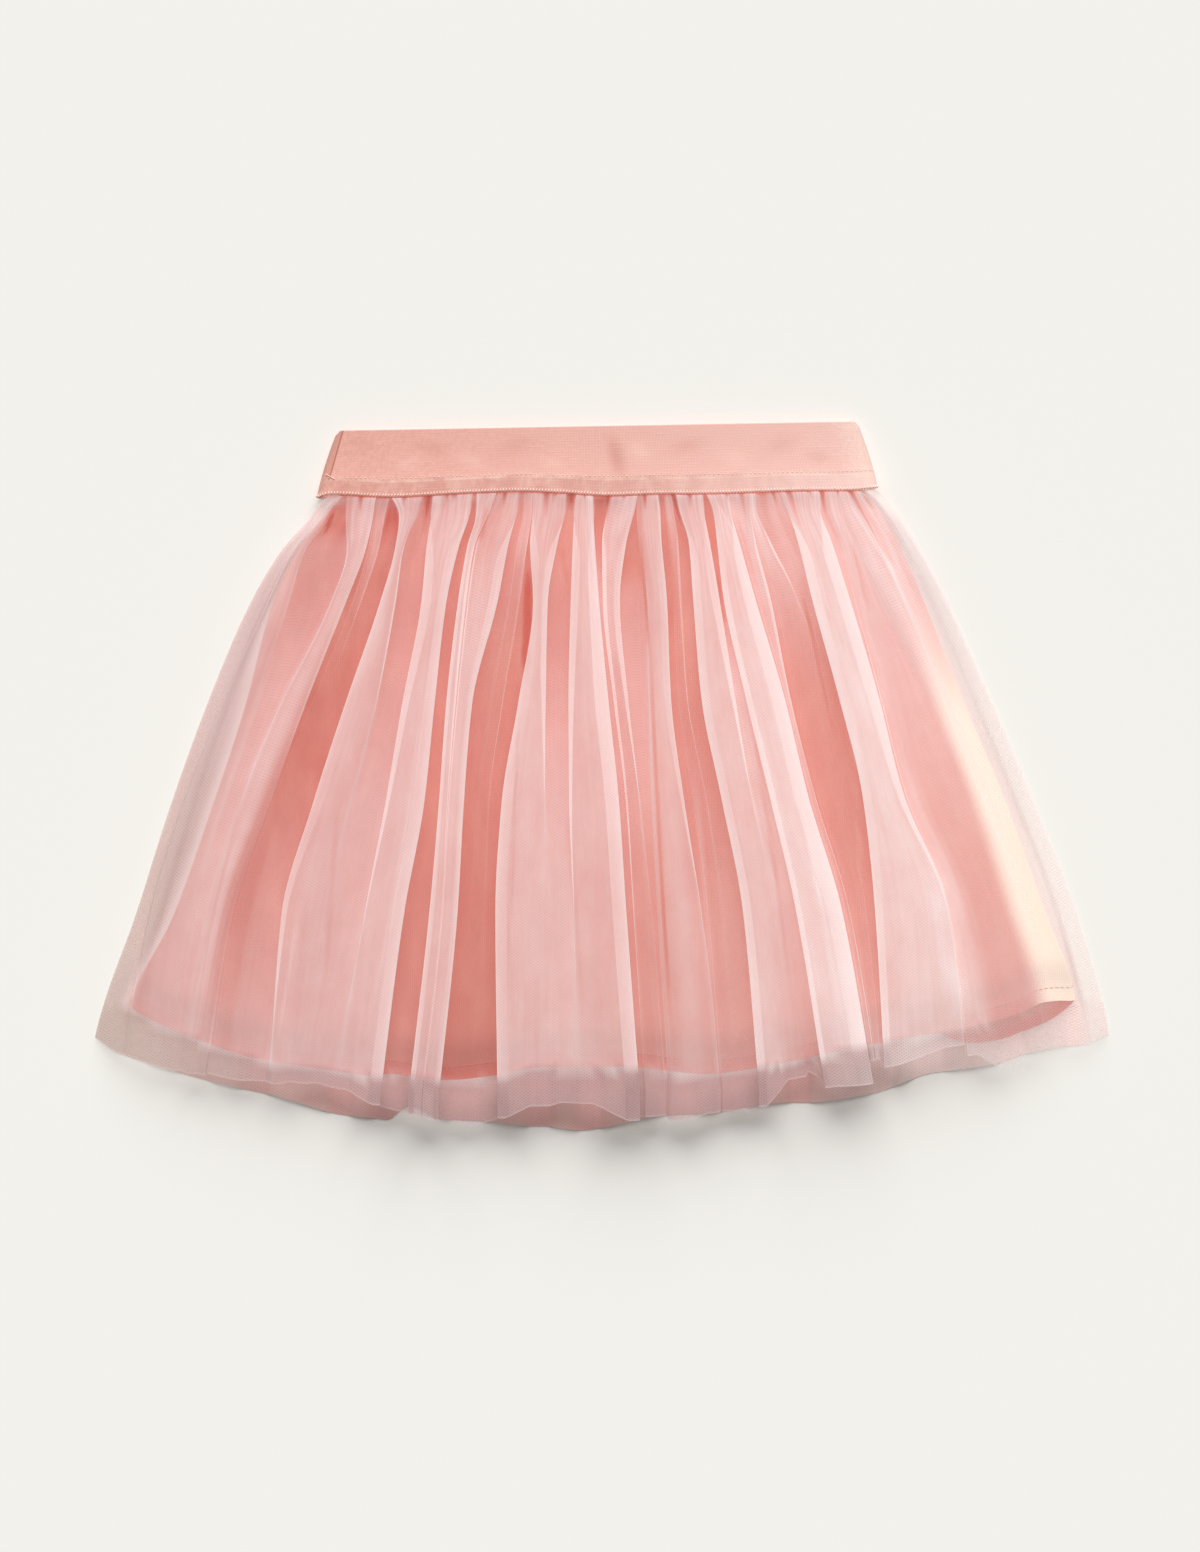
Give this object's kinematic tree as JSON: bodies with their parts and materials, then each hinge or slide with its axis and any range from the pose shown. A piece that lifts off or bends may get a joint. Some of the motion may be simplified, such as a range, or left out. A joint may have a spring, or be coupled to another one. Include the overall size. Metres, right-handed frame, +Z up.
{
  "type": "tulle skirt",
  "caption": "Child's knee-length tulle skirt laid flat: a wide elastic waistband, a gathered net overskirt and a shorter jersey lining.",
  "frame": {"origin": "centre of the bounding box on the surface that the skirt lies on", "axes": "+X along the waistband to the right as seen from the front, +Y from the hem towards the waist, +Z up from the table to the skirt's front"},
  "size_m": [0.4884, 0.3413, 0.0237],
  "materials": {
    "elastic": "woven elastic, fine crosswise ribs, matt",
    "net": "fine soft net, see-through, slightly lustrous",
    "jersey": "fine plain jersey, matt"
  },
  "bodies": {
    "root": {"waistband": "elastic", "net_front": "net", "net_back": "net", "lining_front": "jersey", "lining_back": "jersey"}
  },
  "joints": []
}
